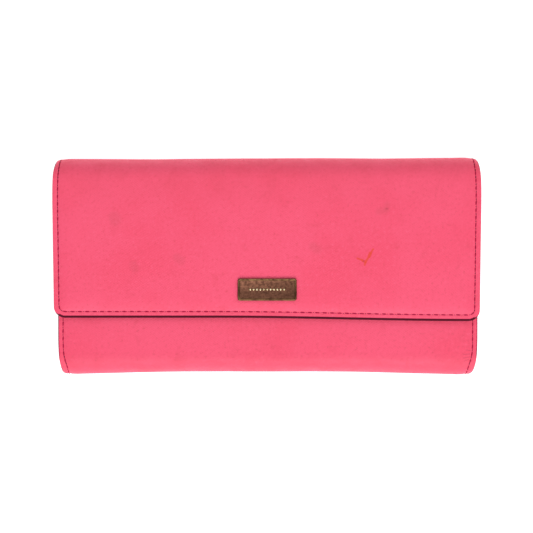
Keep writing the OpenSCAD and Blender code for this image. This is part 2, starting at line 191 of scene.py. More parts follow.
SHELL = Path()
FRONT_END = SHELL.line((FRONT_EDGE, FRONT_Z), (BOTTOM_Y + BOTTOM_R, FRONT_Z))
SHELL.arc((BOTTOM_Y + BOTTOM_R, FRONT_Z - BOTTOM_R), BOTTOM_R, 90)
SHELL.line((BOTTOM_Y, FRONT_Z - BOTTOM_R), (BOTTOM_Y, BOTTOM_R))
BACK_START = SHELL.arc((BOTTOM_Y + BOTTOM_R, BOTTOM_R), BOTTOM_R, 180)
BACK_END = SHELL.line((BOTTOM_Y + BOTTOM_R, 0), (TOP_Y - TOP_R, 0))
SPINE_START = SHELL.arc((TOP_Y - TOP_R, TOP_R), TOP_R, 270)
SPINE_END = SHELL.line((TOP_Y, TOP_R), (TOP_Y, FLAP_Z - TOP_R))
FLAP_START = SHELL.arc((TOP_Y - TOP_R, FLAP_Z - TOP_R), TOP_R, 0)
SHELL.line((TOP_Y - TOP_R, FLAP_Z), (FLAP_EDGE, FLAP_Z))
# The three pieces of the shell meet on the flat of the back and halfway up the spine
BACK_SEAM = BACK_START + 4
SPINE_SEAM = (SPINE_START + SPINE_END) / 2
END = SHELL.length


def flap_half(y):
    widest = TOP_Y - NECK_SPAN
    drawn = TOP_NECK * clamp((y - widest) / NECK_SPAN) ** 3
    return FLAP_HALF - drawn - FLAP_TAPER / 2 * clamp((widest - y) / (widest - FLAP_EDGE))


def drawn_bottom(y):
    return BOTTOM_NECK * clamp((BOTTOM_Y + NECK_SPAN - y) / NECK_SPAN) ** 3


def front_half(y):
    return FRONT_HALF + FRONT_SPREAD - drawn_bottom(y)


def back_half(y):
    return BACK_HALF - TOP_NECK / 2 * clamp((y - TOP_Y + NECK_SPAN) / NECK_SPAN) ** 3 - drawn_bottom(y)


def half_width(s):
    """Half the shell's width at distance s, before its corners are rounded."""
    (y, z), n = SHELL.at(s)
    if s < FRONT_END:
        return front_half(y)
    if s < BACK_START:
        return mix(back_half(y), front_half(y), ease(z / FRONT_Z))
    if s < BACK_END:
        return back_half(y)
    return mix(back_half(y), flap_half(y), ease(z / (FLAP_Z - 2)))


def row_half(s, inset=0.0):
    """Half the width of a layer that is inset from the shell's edge, with its free corners rounded."""
    free = min(s, END - s) - inset
    r = max(CORNER_R - inset, 0.4)
    half = half_width(s) - inset
    if free >= r:
        return half
    return half - r + math.sqrt(max(0.0, r * r - (r - max(free, 0.0)) ** 2))


def edge_distance(s, x):
    side = half_width(s) - abs(x)
    end = min(s, END - s)
    if side < CORNER_R and end < CORNER_R:
        return CORNER_R - math.hypot(CORNER_R - side, CORNER_R - end)
    return min(side, end)


def fold_dip(x, y, half):
    """How far the fold at this side of the wallet falls short of its full reach.

    Both folds sag between their ends and are rounded off at their corners. The bottom one splays
    out there.
    """
    q = clamp(x / (half - CORNER_R), -1, 1)
    p = clamp((abs(x) - half + PINCH_R) / PINCH_R, 0.0, 0.97)
    pinch = PINCH_DEPTH * (1 - math.sqrt(1 - p * p))
    if y > 0:
        sag = 0.25 * math.exp(-(((abs(x) - 58) / 18) ** 2))
        return 0.6 + sag - 0.4 * q**6 - 0.3 * q + pinch
    return 1.3 - 1.65 * abs(q) ** 3 - 0.1 * q + pinch


def seam_inset(s):
    """How far in from the edge the seam runs.

    It runs further in on the flap, and where the front rolls into the bottom fold.
    """
    bottom_fold_band = ease((s - FRONT_END + 2) / 9) * ease((BACK_START - s) / 10)
    flap = (FLAP_SIDE_SEAM - SEAM_INSET) * ease((s - SPINE_END) / 10)
    near_end = ease((s - END + CORNER_R) / (CORNER_R - FLAP_END_SEAM))
    flap_end = (FLAP_END_SEAM - FLAP_SIDE_SEAM) * near_end
    return SEAM_INSET + 0.9 * bottom_fold_band + flap + flap_end


def edge_lap(s, x):
    """How far the edge paint laps onto the surface: along the flap's free edge, where the wide dark band is
    edge paint and painted shadow of the gap under the edge, less on the front.
    """
    half = half_width(s)
    if s < FRONT_END:
        return SIDE_LAP
    if s < FLAP_START:
        return 0.0
    angle = math.degrees(math.atan2(CORNER_R - (END - s), max(CORNER_R - half + abs(x), 0.01)))
    return FLAP_PAINT_AND_SHADOW_LAP * ease((angle - 30) / 30)


def painted(s, x):
    """1 where edge paint covers the surface; along the flap's free edge this band is also painted shadow."""
    lap = edge_lap(s, x)
    return ease((lap + 0.1 - edge_distance(s, x)) / 0.15) if lap else 0.0


def relief(s, x):
    """Height of the shell's surface over its path: seams sunk, panels padded and slightly uneven."""
    gap = edge_distance(s, x)
    seam = seam_inset(s)
    groove = -0.2 * math.exp(-(((gap - seam) / 0.5) ** 2))
    on_back = ease((s - BACK_START + 7) / 6) * ease((BACK_END + 7 - s) / 6)
    if on_back == 1:
        return groove
    padding = 0.28 * ease((gap - seam) / 4)
    crown = 0.35 * ease(gap / 30)
    coarse = noise.noise(Vector((x / 38, s / 30, 2.7)))
    fine = noise.noise(Vector((x / 11, s / 13, 9.1)))
    wave = (0.16 * coarse + 0.05 * fine) * ease(gap / 6)
    droop = -0.6 * (1 - ease(gap / 9)) * ease((s - FLAP_START) / 14)
    front_droop = -0.25 * (1 - ease(gap / 8)) * ease((FRONT_END - s) / 10)
    lap = edge_lap(s, x)
    turned_down = 0.0
    if lap > 0.1:
        u = clamp((lap - gap) / lap)
        turned_down = -0.6 * lap * (1 - math.sqrt(max(0.0, 1 - u * u)))
    return groove + (padding + crown + wave) * (1 - on_back) + droop + front_droop + turned_down


def surface(s, x, depth=0.0):
    """A point of the shell, depth below its surface. The flap hangs a little lower at its right-hand end."""
    (y, z), (ny, nz) = SHELL.at(s)
    y -= math.copysign(1, y) * fold_dip(x, y, half_width(s)) * ease(abs(ny))
    down = ease((s - FLAP_START - 30) / (END - FLAP_START - 34))
    y -= (0.95 + 1.5 * ease((x + 20) / 110)) * down
    shift = 0.45 * (1 - ease((s - FRONT_END) / (BACK_START - FRONT_END)))
    rise = relief(s, x) - depth
    return Vector((x + shift, y + ny * rise, z + nz * rise))


def normal_at(s):
    n = SHELL.at(s)[1]
    return Vector((0, n[0], n[1]))


# ---- mesh helpers ----


def finish_mesh(name, bm, materials):
    """Turns a mesh in millimetres into an object in metres, smooth shaded."""
    bmesh.ops.recalc_face_normals(bm, faces=bm.faces)
    if bm.calc_volume(signed=True) < 0:
        bmesh.ops.reverse_faces(bm, faces=bm.faces)
    bm.normal_update()
    for face in bm.faces:
        face.smooth = True
    bm.transform(Matrix.Scale(MM, 4))
    data = bpy.data.meshes.new(name)
    bm.to_mesh(data)
    bm.free()
    for material in materials:
        data.materials.append(material)
    obj = bpy.data.objects.new(name, data)
    bpy.context.scene.collection.objects.link(obj)
    return obj


def place(obj, body=None, bend=None, replaces=()):
    """Hides the nodes that the piece stands for, and fixes it to a body or across a fold."""
    if replaces:
        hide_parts(*replaces)
    if body:
        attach(obj, body)
    if bend:
        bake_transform(obj, bend[0], bend[1], start=bend[2], end=bend[3])
    return obj


def set_skin(obj, coordinate):
    """Stores where each vertex lies on its own sheet, in millimetres, for the grain to follow."""
    skin = obj.data.attributes.new("skin", "FLOAT_VECTOR", "POINT")
    values = []
    for v in obj.data.vertices:
        values.extend(coordinate(v.co / MM))
    skin.data.foreach_set("vector", values)


def closed_sheet(top, bottom, rounding, free_ends=(True, True)):
    """The solid between two grids of spots, its rim rounded, or left square where it meets another piece.

    A spot is a point, its place on the sheet, and how much edge paint covers it.
    """
    bm = bmesh.new()
    skin = bm.verts.layers.float_vector.new("skin")
    paint = bm.verts.layers.float.new("paint")

    def add(point, spot):
        v = bm.verts.new(point)
        v[skin] = (*spot[1], 0.0)
        v[paint] = spot[2]
        return v

    up = [[add(spot[0], spot) for spot in row] for row in top]
    down = [[add(spot[0], spot) for spot in row] for row in bottom]
    rows, cols = len(up), len(up[0])
    first, last = int(free_ends[0]), rows - 1 - int(free_ends[1])
    for i in range(rows - 1):
        for j in range(cols - 1):
            bm.faces.new((up[i][j], up[i][j + 1], up[i + 1][j + 1], up[i + 1][j]))
            bm.faces.new((down[i][j], down[i + 1][j], down[i + 1][j + 1], down[i][j + 1]))

    def profile(i, j):
        """The vertices down the rim at one of its spots, from the upper face to the lower one."""
        k, m = min(max(i, first), last), min(max(j, 1), cols - 2)
        if (k, m) == (i, j):
            return [up[i][j], down[i][j]]
        over, under = top[i][j], bottom[i][j]
        across = under[0] - over[0]
        radius = min(rounding, 0.45 * across.length)
        made = []
        for v, spot, inner, way in ((up[i][j], over, top[k][m], 1), (down[i][j], under, bottom[k][m], -1)):
            inward = inner[0] - spot[0]
            v.co = spot[0] + inward.normalized() * min(radius, 0.7 * inward.length)
            side = spot[0] + way * across.normalized() * radius
            made.append([v, add((v.co + 2 * spot[0] + side) / 4, spot), add(side, spot)])
        return made[0] + made[1][::-1]

    rim = [(i, 0) for i in range(rows)] + [(rows - 1, j) for j in range(1, cols)]
    rim += [(i, cols - 1) for i in range(rows - 2, -1, -1)] + [(0, j) for j in range(cols - 2, 0, -1)]
    profiles = [profile(i, j) for i, j in rim]
    for p, q in zip(profiles, profiles[1:] + profiles[:1]):
        if len(p) == len(q) == 6:
            for k in range(5):
                bm.faces.new((p[k], q[k], q[k + 1], p[k + 1]))
        else:
            face = bm.faces.new(p[:1] + q + p[:0:-1])
            for edge in face.edges:
                edge.smooth = False
    return bm


# Distances in from an edge of the fine rows and columns, and of the first even column
EDGE_STEPS = [0, 0.35, 0.55, 0.75, 0.9, 1.1, 1.5, 1.9, 2.2, 2.5, 2.9, 3.5, 4.4, 5.6, 7]
EVEN_FROM = 8.4


def stations(s0, s1, inset):
    """Distances along the shell for a layer's rows, closer together by its free edges."""
    a = max(s0, inset)
    b = min(s1, END - inset)
    rows = steps(a, b, 1.6)
    if s0 <= 0:
        rows = [a + e for e in EDGE_STEPS] + [s for s in rows if s > a + 8]
    if s1 >= END:
        rows = [s for s in rows if s < b - 8] + [b - e for e in reversed(EDGE_STEPS)]
    return rows


def columns(half, even_count=48):
    """Places across a row, closer together by its edges: every row has the same number."""
    inner = half - EVEN_FROM
    left = [e - half for e in EDGE_STEPS]
    even = [mix(-inner, inner, i / even_count) for i in range(even_count + 1)]
    return left + even + [-x for x in reversed(left)]


def shell_layer(name, materials, s0, s1, faces, inset=0.0, rounding=0.25):
    """A layer of the shell. faces gives the depths of its two faces at a place (s, x).

    The first of its materials covers it and the last is for its cut edge. Where there are three, the one
    between them is for the painted margin, which is also painted shadow along the flap's free edge.
    """
    top, bottom = [], []
    for s in stations(s0, s1, inset):
        xs = columns(row_half(s, inset))
        top.append([(surface(s, x, faces(s, x)[0]), (x, s), painted(s, x)) for x in xs])
        bottom.append([(surface(s, x, faces(s, x)[1]), (x, s), 0.0) for x in xs])
    bm = closed_sheet(top, bottom, rounding, (s0 <= 0, s1 >= END))
    skin = bm.verts.layers.float_vector["skin"]
    paint = bm.verts.layers.float["paint"]
    bm.normal_update()
    for face in bm.faces:
        s = sum(v[skin].y for v in face.verts) / len(face.verts)
        if abs(face.normal.dot(normal_at(s))) < 0.8:
            face.material_index = len(materials) - 1
        elif len(materials) > 2 and any(v[paint] > 0.01 for v in face.verts):
            face.material_index = 1
    return finish_mesh(name, bm, materials)


def rim_steps(a, b, size):
    """Values from a to b, closer together near both ends so that a rounded rim shades crisply."""
    near = [0, 0.2, 0.5, 1.0, 1.8, 3.0]
    return [a + e for e in near] + steps(a + 4.5, b - 4.5, size) + [b - e for e in reversed(near)]


def soft_panel(name, material, xs, ys, upper, lower, rounding):
    """A sheet over a grid of places. upper and lower give the heights of its two faces."""
    top = [[(Vector((x, y, upper(x, y))), (x, y), 0.0) for x in xs] for y in ys]
    bottom = [[(Vector((x, y, lower(x, y))), (x, y), 0.0) for x in xs] for y in ys]
    return finish_mesh(name, closed_sheet(top, bottom, rounding), [material])


def flat_panel(name, material, lo, hi, puff=0.12, rounding=0.14, seed=1.0):
    """A soft panel that lies flat: a low cushion with rounded edges, slightly uneven."""

    def upper(x, y):
        gap = min(x - lo.x, hi.x - x, y - lo.y, hi.y - y)
        uneven = 0.4 * noise.noise(Vector((x / 17, y / 15, seed)))
        return hi.z + min(0.0, puff * (ease(gap / 9) - 1 + uneven))

    xs = rim_steps(lo.x, hi.x, 3.0)
    ys = steps(lo.y, hi.y, 0.5) if hi.y - lo.y < 12 else rim_steps(lo.y, hi.y, 2.2)
    return soft_panel(name, material, xs, ys, upper, lambda x, y: lo.z, rounding)


def add_block(bm, lo, hi, rounding=0.15, segments=2):
    made = bmesh.ops.create_cube(bm, size=1.0)["verts"]
    half = Vector((0.5, 0.5, 0.5))
    for v in made:
        v.co = lo + (v.co + half) * (hi - lo)
    edges = list({e for v in made for e in v.link_edges})
    bmesh.ops.bevel(
        bm, geom=edges, offset=rounding, segments=segments, profile=0.5, affect="EDGES", clamp_overlap=True
    )


def loft(bm, rings, material_index=0, closed=False):
    """Skins rings of points, each with the same number, and caps the two ends or joins them up."""
    made = [[bm.verts.new(p) for p in ring] for ring in rings]
    n = len(made[0])
    following = made[1:] + made[:1] if closed else made[1:]
    faces = []
    for a, b in zip(made, following):
        for i in range(n):
            j = (i + 1) % n
            faces.append(bm.faces.new((a[i], a[j], b[j], b[i])))
    if not closed:
        faces.append(bm.faces.new(made[0][::-1]))
        faces.append(bm.faces.new(made[-1]))
    for face in faces:
        face.material_index = material_index


def around(n):
    """The directions of n places round a circle, as cosine and sine."""
    return [(math.cos(a), math.sin(a)) for a in [2 * math.pi * i / n for i in range(n)]]


def circle(centre, radius, height, n=48):
    return [Vector((centre[0] + radius * u, centre[1] + radius * v, height)) for u, v in around(n)]


def round_rect(centre, half_x, half_y, radius, height):
    points = []
    for sx, sy, start in ((1, 1, 0), (-1, 1, 90), (-1, -1, 180), (1, -1, 270)):
        for k in range(7):
            a = math.radians(start + 90 * k / 6)
            x = centre[0] + sx * (half_x - radius) + radius * math.cos(a)
            y = centre[1] + sy * (half_y - radius) + radius * math.sin(a)
            points.append(Vector((x, y, height)))
    return points


# ---- materials ----

# Short names for the shader's inputs
SHADER_INPUTS = {
    "colour": "Base Color", "roughness": "Roughness", "specular": "Specular IOR Level",
    "normal": "Normal", "metallic": "Metallic", "alpha": "Alpha", "sheen": "Sheen Weight",
    "sheen_roughness": "Sheen Roughness", "glow_colour": "Emission Color", "glow": "Emission Strength"
}


def put(socket, value):
    """Links a socket to this one, or sets its value."""
    if isinstance(value, bpy.types.NodeSocket):
        socket.id_data.links.new(value, socket)
    else:
        socket.default_value = value


def new_node(tree, kind, inputs=(), **settings):
    """Adds a node. Each input is a socket to link, or a value to set."""
    made = tree.nodes.new("ShaderNode" + kind)
    for key, value in settings.items():
        setattr(made, key, value)
    for i, value in enumerate(inputs):
        put(made.inputs[i], value)
    return made


def node(kind, inputs, **settings):
    """Adds a node to the tree that its first input, a socket, belongs to."""
    return new_node(inputs[0].id_data, kind, inputs, **settings)


def math_node(operation, *inputs):
    return node("Math", inputs, operation=operation).outputs[0]


def skin_of(tree):
    return new_node(tree, "Attribute", attribute_name="skin").outputs["Vector"]


def object_mm(tree):
    """Object coordinates in millimetres."""
    metre_place = new_node(tree, "TexCoord").outputs["Object"]
    return node("VectorMath", [metre_place, (1000, 1000, 1000)], operation="MULTIPLY").outputs[0]


def fractal(where, scale, detail=3.0, roughness=0.55, distortion=0.0):
    made = node("TexNoise", [where])
    values = {"Scale": scale, "Detail": detail, "Roughness": roughness, "Distortion": distortion}
    for key, value in values.items():
        made.inputs[key].default_value = value
    return made.outputs["Fac"]


def spread(value, low_in, high_in, low_out=0.0, high_out=1.0):
    """Maps a range of values to another one, smoothly, and clamps it there."""
    inputs = [value, low_in, high_in, low_out, high_out]
    return node("MapRange", inputs, interpolation_type="SMOOTHSTEP").outputs[0]


def blend_colour(amount, first, second):
    made = node("Mix", [amount], data_type="RGBA")
    for key, value in ((6, first), (7, second)):
        put(made.inputs[key], (*value, 1.0) if isinstance(value, tuple) else value)
    return made.outputs[2]


def bump(height, strength, distance_mm, after=None):
    made = new_node(height.id_data, "Bump", [strength, distance_mm * MM])
    put(made.inputs["Height"], height)
    if after is not None:
        put(made.inputs["Normal"], after)
    return made.outputs[0]


def hatch(where, angle_deg, pitch, wobble):
    """Fine ridges across one direction, their phase wandering with wobble."""
    a = math.radians(angle_deg)
    turn = 2 * math.pi / pitch
    across = (math.cos(a) * turn, math.sin(a) * turn, 0)
    along = node("VectorMath", [where, across], operation="DOT_PRODUCT").outputs["Value"]
    return math_node("SINE", math_node("MULTIPLY_ADD", wobble, 5.0, along))


def saffiano(where):
    """Height of a cross-hatched grain: two sets of slanting ridges, broken up by noise."""
    wobble = fractal(where, 0.35, 2.0)
    first = hatch(where, 58, 0.95, wobble)
    second = hatch(where, -52, 0.8, wobble)
    both = math_node("MAXIMUM", first, math_node("MULTIPLY", second, 0.8))
    break_up = fractal(where, 1.6, 2.0)
    return math_node("MULTIPLY", both, spread(break_up, 0.3, 0.65, 0.25, 1.0))


def stroke_mask(where, start, end, width, soft):
    """1 within width of the line from start to end on the skin, fading over soft."""
    ax, ay = start
    dx, dy = end[0] - ax, end[1] - ay
    size2 = dx * dx + dy * dy
    parts = node("SeparateXYZ", [where])
    px = math_node("SUBTRACT", parts.outputs[0], ax)
    py = math_node("SUBTRACT", parts.outputs[1], ay)
    t = math_node("MULTIPLY", py, dy / size2)
    t = math_node("MULTIPLY_ADD", px, dx / size2, t)
    t = node("Clamp", [t, 0.0, 1.0]).outputs[0]
    gx = math_node("SUBTRACT", px, math_node("MULTIPLY", t, dx))
    gy = math_node("SUBTRACT", py, math_node("MULTIPLY", t, dy))
    gap2 = math_node("MULTIPLY_ADD", gx, gx, math_node("MULTIPLY", gy, gy))
    ragged = math_node("MULTIPLY_ADD", fractal(where, 1.1, 3.0), width * 1.6, math_node("SQRT", gap2))
    return spread(ragged, width * 1.8, width * 1.8 + soft, 1.0, 0.0)


def on_flap(x, y):
    """The skin coordinates of a place on the flap."""
    return x, FLAP_START + (TOP_Y - TOP_R - y)


def on_front(x, y):
    """The skin coordinates of a place on the front."""
    return x, FRONT_EDGE - y


CORAL = (0.91, 0.074, 0.155)
CORAL_DEEP = (0.74, 0.062, 0.112)
CORAL_LIGHT = (0.935, 0.088, 0.18)
CORAL_PALE = (0.95, 0.112, 0.215)
SCUFF = (0.79, 0.055, 0.03)
EDGE_PAINT = (0.075, 0.003, 0.012)
EDGE_WORN = (0.24, 0.028, 0.055)
STAIN = (0.62, 0.075, 0.115)
# The colour of dark spots, and of the painted shade in creases
SPOT_AND_CREASE_SHADE = (0.5, 0.03, 0.07)

# For each kind of mark: its tint, how strongly it covers the leather, and over what width it fades
MARK_LOOKS = {
    "scuff": (SCUFF, 0.85, 0.5),
    "stain": (STAIN, 0.26, 2.2),
    "spot": (SPOT_AND_CREASE_SHADE, 0.6, 0.5),
    # The crease strokes are painted shade in small creases of the leather
    "crease": (SPOT_AND_CREASE_SHADE, 0.4, 0.3)
}


def material_maker(looks):
    """Turns looks, which gives shader inputs for coordinates, into a function that makes a material."""

    def make(name, *args, where_from=skin_of, **options):
        material = bpy.data.materials.new(name)
        material.use_nodes = True
        tree = material.node_tree
        tree.nodes.clear()
        out = tree.nodes.new("ShaderNodeOutputMaterial")
        shader = tree.nodes.new("ShaderNodeBsdfPrincipled")
        tree.links.new(shader.outputs[0], out.inputs[0])
        for key, value in looks(where_from(tree), *args, **options).items():
            put(shader.inputs[SHADER_INPUTS[key]], value)
        return material

    return make


@material_maker
def outer_leather(where, marks=(), specular=0.38):
    """Cross-grained leather with a satin resin finish, mottled, with marks as (kind, start, end, width), and
    painted shade towards both folds.
    """
    broad = fractal(where, 0.022, 3.0, 0.6)
    colour = blend_colour(spread(broad, 0.38, 0.66), CORAL_LIGHT, CORAL)
    mottle = fractal(where, 0.11, 4.0, 0.62, 0.4)
    colour = blend_colour(spread(mottle, 0.55, 0.78, 0.0, 0.4), colour, CORAL_DEEP)
    flecks = fractal(where, 0.7, 3.0, 0.75)
    colour = blend_colour(spread(flecks, 0.52, 0.74, 0.0, 0.7), colour, CORAL_DEEP)
    colour = blend_colour(spread(flecks, 0.28, 0.48, 0.7, 0.0), colour, CORAL_PALE)
    for kind, start, end, width in marks:
        tint, most, soft = MARK_LOOKS[kind]
        mask = stroke_mask(where, start, end, width, soft)
        colour = blend_colour(math_node("MULTIPLY", mask, most), colour, tint)
    # Painted shade: the leather is darkened from the flap's root over the top fold, and less over the bottom
    # fold, in place of the shading on the folds
    along = node("SeparateXYZ", [where]).outputs[1]
    painted_top_fold_shade = spread(along, FLAP_START + 22, SPINE_END, 0.0, 0.55)
    painted_top_fold_shade = math_node("MULTIPLY", painted_top_fold_shade, spread(along, BACK_END, SPINE_START))
    bottom_fold_band = spread(along, FRONT_END - 3, FRONT_END + 5, 0.0, 0.5)
    bottom_fold_band = math_node("MULTIPLY", bottom_fold_band, spread(along, BACK_START - 4, BACK_START + 2, 1.0, 0.0))
    wear_and_fold_shade = math_node("ADD", painted_top_fold_shade, bottom_fold_band)
    wear_and_fold_shade = math_node("MULTIPLY", wear_and_fold_shade, spread(mottle, 0.25, 0.65, 0.4, 1.0))
    colour = blend_colour(wear_and_fold_shade, colour, CORAL_DEEP)
    grain = saffiano(where)
    colour = blend_colour(spread(grain, -0.9, 0.2, 0.14, 0.0), colour, CORAL_DEEP)
    # Edge paint on the margin; along the flap's free edge this dark band is also painted shadow of the gap
    # under the edge
    paint = new_node(where.id_data, "Attribute", attribute_name="paint").outputs["Fac"]
    colour = blend_colour(paint, colour, EDGE_PAINT)
    pores = bump(fractal(where, 2.2, 2.0), 0.4, 0.04)
    normal = bump(grain, 0.6, 0.06, pores)
    rough = spread(mottle, 0.3, 0.8, 0.5, 0.64)
    return dict(colour=colour, roughness=rough, specular=specular, normal=normal)


@material_maker
def inner_leather(where):
    """Thin smooth leather of the card slots, gussets and coin pocket."""
    patches = fractal(where, 0.05, 4.0, 0.6)
    colour = blend_colour(spread(patches, 0.35, 0.7), (0.80, 0.085, 0.165), (0.68, 0.066, 0.125))
    fine = bump(saffiano(where), 0.3, 0.03)
    normal = bump(fractal(where, 1.4, 3.0, 0.6, 0.6), 0.3, 0.06, fine)
    rough = spread(patches, 0.3, 0.7, 0.5, 0.62)
    return dict(colour=colour, roughness=rough, specular=0.35, normal=normal)


@material_maker
def edge_paint(where):
    """Dark painted edge, a little glossy and uneven."""
    wear_and_fold_shade = fractal(where, 0.4, 4.0, 0.7)
    colour = blend_colour(spread(wear_and_fold_shade, 0.58, 0.75, 0.0, 0.35), EDGE_PAINT, EDGE_WORN)
    return dict(colour=colour, roughness=0.5, specular=0.15, normal=bump(wear_and_fold_shade, 0.4, 0.05))


@material_maker
def woven(where, light, dark, pitch):
    """Fine twill: slanting ridges over crossing yarns."""
    still = fractal(where, 0.2, 2.0)
    twill = hatch(where, 35, pitch, still)
    yarns = hatch(where, -55, pitch * 0.6, still)
    weave = math_node("MULTIPLY_ADD", yarns, 0.35, twill)
    colour = blend_colour(spread(weave, -1.0, 1.0), dark, light)
    patches = fractal(where, 0.06, 3.0)
    colour = blend_colour(spread(patches, 0.5, 0.75, 0.0, 0.25), colour, dark)
    normal = bump(weave, 0.6, 0.06)
    return dict(colour=colour, roughness=0.85, sheen=0.25, sheen_roughness=0.45, normal=normal)


@material_maker
def thread(where, colour_a, colour_b):
    """Twisted waxed thread."""
    strands = fractal(where, 3.2, 2.0, 0.6, 1.2)
    colour = blend_colour(spread(strands, 0.35, 0.65), colour_a, colour_b)
    return dict(colour=colour, roughness=0.7, specular=0.04, normal=bump(strands, 0.5, 0.08))


@material_maker
def metal(where, bright, dull, roughness, scratch_scale=0.5, streaks=0.0, patch_scale=0.35):
    """Plated metal with tarnish in patches and fine scratches; streaks gives it a brushed face."""
    patches = fractal(where, patch_scale, 4.0, 0.65)
    colour = blend_colour(spread(patches, 0.38, 0.68), bright, dull)
    stretched = node("VectorMath", [where, (0.35, 7.0, 1.0)], operation="MULTIPLY").outputs[0]
    brushed = fractal(stretched, scratch_scale, 3.0, 0.7)
    if streaks:
        colour = blend_colour(spread(brushed, 0.4, 0.66, 0.0, streaks), colour, dull)
    rough = spread(patches, 0.3, 0.75, roughness, roughness + 0.18)
    return dict(colour=colour, metallic=1.0, roughness=rough, normal=bump(brushed, 0.25, 0.03))


@material_maker
def fibre_board(where):
    fibres = fractal(where, 0.9, 4.0, 0.7, 0.8)
    colour = blend_colour(spread(fibres, 0.35, 0.7), (0.42, 0.32, 0.20), (0.30, 0.22, 0.13))
    return dict(colour=colour, roughness=0.9, normal=bump(fibres, 0.4, 0.08))


@material_maker
def clear_film(where):
    haze = fractal(where, 0.12, 3.0)
    rough = spread(haze, 0.3, 0.7, 0.12, 0.3)
    return dict(colour=(0.9, 0.94, 0.96, 1.0), roughness=rough, alpha=0.3, normal=bump(haze, 0.2, 0.2))


@material_maker
def white_floor(where):
    faint = fractal(where, 0.01, 2.0)
    colour = blend_colour(spread(faint, 0.3, 0.7), (0.95, 0.95, 0.95), (0.93, 0.93, 0.93))
    return dict(colour=colour, roughness=0.8, specular=0.1, glow_colour=(1, 1, 1, 1), glow=0.6)


def marks_on(where_on, marks):
    """Marks with their ends moved from places on the wallet to places on its skin."""
    return [(kind, where_on(*start), where_on(*end), width) for kind, start, end, width in marks]


# Each mark is a stroke: its kind, its two ends and its width.
# The scuff is a tick: a thin short stroke, a pointed nick, and a longer stroke that widens
FLAP_MARKS = [
    ("scuff", (40.1, 3.5), (42.4, 2.7), 0.1),
    ("scuff", (42.4, 2.6), (43.7, 2.0), 0.26),
    ("spot", (42.9, 2.3), (43.6, 1.9), 0.1),
    ("scuff", (43.7, 2.0), (43.4, 0.9), 0.2),
    ("scuff", (43.7, 2.0), (45.4, 4.4), 0.22),
    ("scuff", (45.4, 4.4), (45.9, 5.6), 0.44),
    ("scuff", (46.0, 5.6), (47.1, 7.4), 0.16),
    ("stain", (-67.6, 21.6), (-67.2, 20.2), 1.5),
    ("stain", (49.6, 24.0), (52.6, 24.6), 0.3),
    ("stain", (53.4, 27.0), (53.0, 25.4), 0.2),
    ("spot", (53.0, 25.3), (53.5, 25.3), 0.12),
    ("stain", (-59.2, 0.6), (-58.4, -0.8), 0.7),
    ("stain", (-39.8, 3.6), (-38.0, 2.4), 0.8),
    ("stain", (20.6, 8.6), (22.4, 7.2), 0.8),
]
# Painted shade of small creases, which fan out from the seam low on the front, at its right-hand side
FRONT_MARKS = [
    ("crease", (88.2, -37.4), (90.1, -37.7), 0.04),
    ("crease", (87.2, -39.4), (90.0, -39.2), 0.05),
    ("crease", (87.0, -41.0), (89.8, -40.5), 0.05),
    ("crease", (87.4, -42.3), (89.4, -41.6), 0.04),
]

FLAP_LEATHER = outer_leather("coral_leather_flap", marks_on(on_flap, FLAP_MARKS))
BODY_LEATHER = outer_leather("coral_leather_body", marks_on(on_front, FRONT_MARKS))
# The margin: edge paint, and along the flap's free edge painted shadow too, with little gloss
MARGIN = outer_leather("coral_leather_margin", specular=0.05)
INNER_LEATHER = inner_leather("inner_leather")
EDGE = edge_paint("painted_edge")
CLOTH = woven("lining_twill", (0.62, 0.47, 0.37), (0.47, 0.34, 0.26), 0.5)

# The grain of these follows the object, not the place on a sheet
solid = {"where_from": object_mm}
TAPE = woven("zip_tape_weave", (0.60, 0.07, 0.13), (0.40, 0.04, 0.08), 0.7, **solid)
THREAD = thread("seam_thread", (0.5, 0.014, 0.07), (0.32, 0.008, 0.042), **solid)
# Painted shade of the needle holes: the dark colour of the small lenses that sit in them
HOLE_SHADE = thread("needle_hole", (0.1, 0.002, 0.014), (0.06, 0.002, 0.01), **solid)
ZIP_GOLD = metal("zip_gold", (0.80, 0.60, 0.30), (0.55, 0.38, 0.17), 0.24, **solid)
SNAP_GOLD = metal("snap_gold", (0.62, 0.45, 0.24), (0.36, 0.25, 0.13), 0.3, **solid)
PLAQUE_FACE = metal("plaque_face", (0.235, 0.104, 0.064), (0.12, 0.05, 0.032), 0.5, 0.9, 0.5, 0.8, **solid)
PLAQUE_RIM = metal("plaque_rim", (0.23, 0.128, 0.06), (0.095, 0.046, 0.024), 0.42, **solid)
PLAQUE_BEAD = metal("plaque_bead", (0.92, 0.80, 0.52), (0.74, 0.60, 0.34), 0.25, **solid)
BOARD = fibre_board("fibre_board", **solid)
FILM = clear_film("clear_film", **solid)
FLOOR = white_floor("studio_floor", **solid)

# ---- shell ----


def metres(y, z):
    return (0.0, y * MM, z * MM)


# Where each piece of the shell turns: along the fold's outer corner
TOP_LOW_BEND = ("back_leaf", "top_fold", metres(TOP_Y - TOP_R, 0), metres(TOP_Y, TOP_R))
TOP_HIGH_BEND = ("top_fold", "flap", metres(TOP_Y, FLAP_Z - TOP_R), metres(TOP_Y - TOP_R, FLAP_Z))
BOTTOM_BEND = (
    "back_leaf", "front_leaf",
    metres(BOTTOM_Y + 2, FRONT_Z - BOTTOM_R + 1.4), metres(BOTTOM_Y + BOTTOM_R - 0.5, FRONT_Z)
)


def leather_faces(s, x):
    return 0.0, LEATHER


def on_board(s):
    """1 where a stiffening board lies under the leather, 0 round the folds."""
    (y, z), n = SHELL.at(s)
    if abs(n[1]) < 0.999:
        return 0.0
    return ease((TOP_Y - TOP_R - 0.5 - y) / 3) * ease((y - BOTTOM_Y - BOTTOM_R - 0.5) / 3)


def lining_faces(s, x):
    board = FLAP_BOARD if s > SPINE_SEAM else LEAF_BOARD
    start = LEATHER + 0.02 + board * on_board(s) * ease((edge_distance(s, x) - 2.4) / 2.2)
    return start, start + LINING


def board_faces(s, x):
    return LEATHER + 0.03, LEATHER + FLAP_BOARD - 0.02


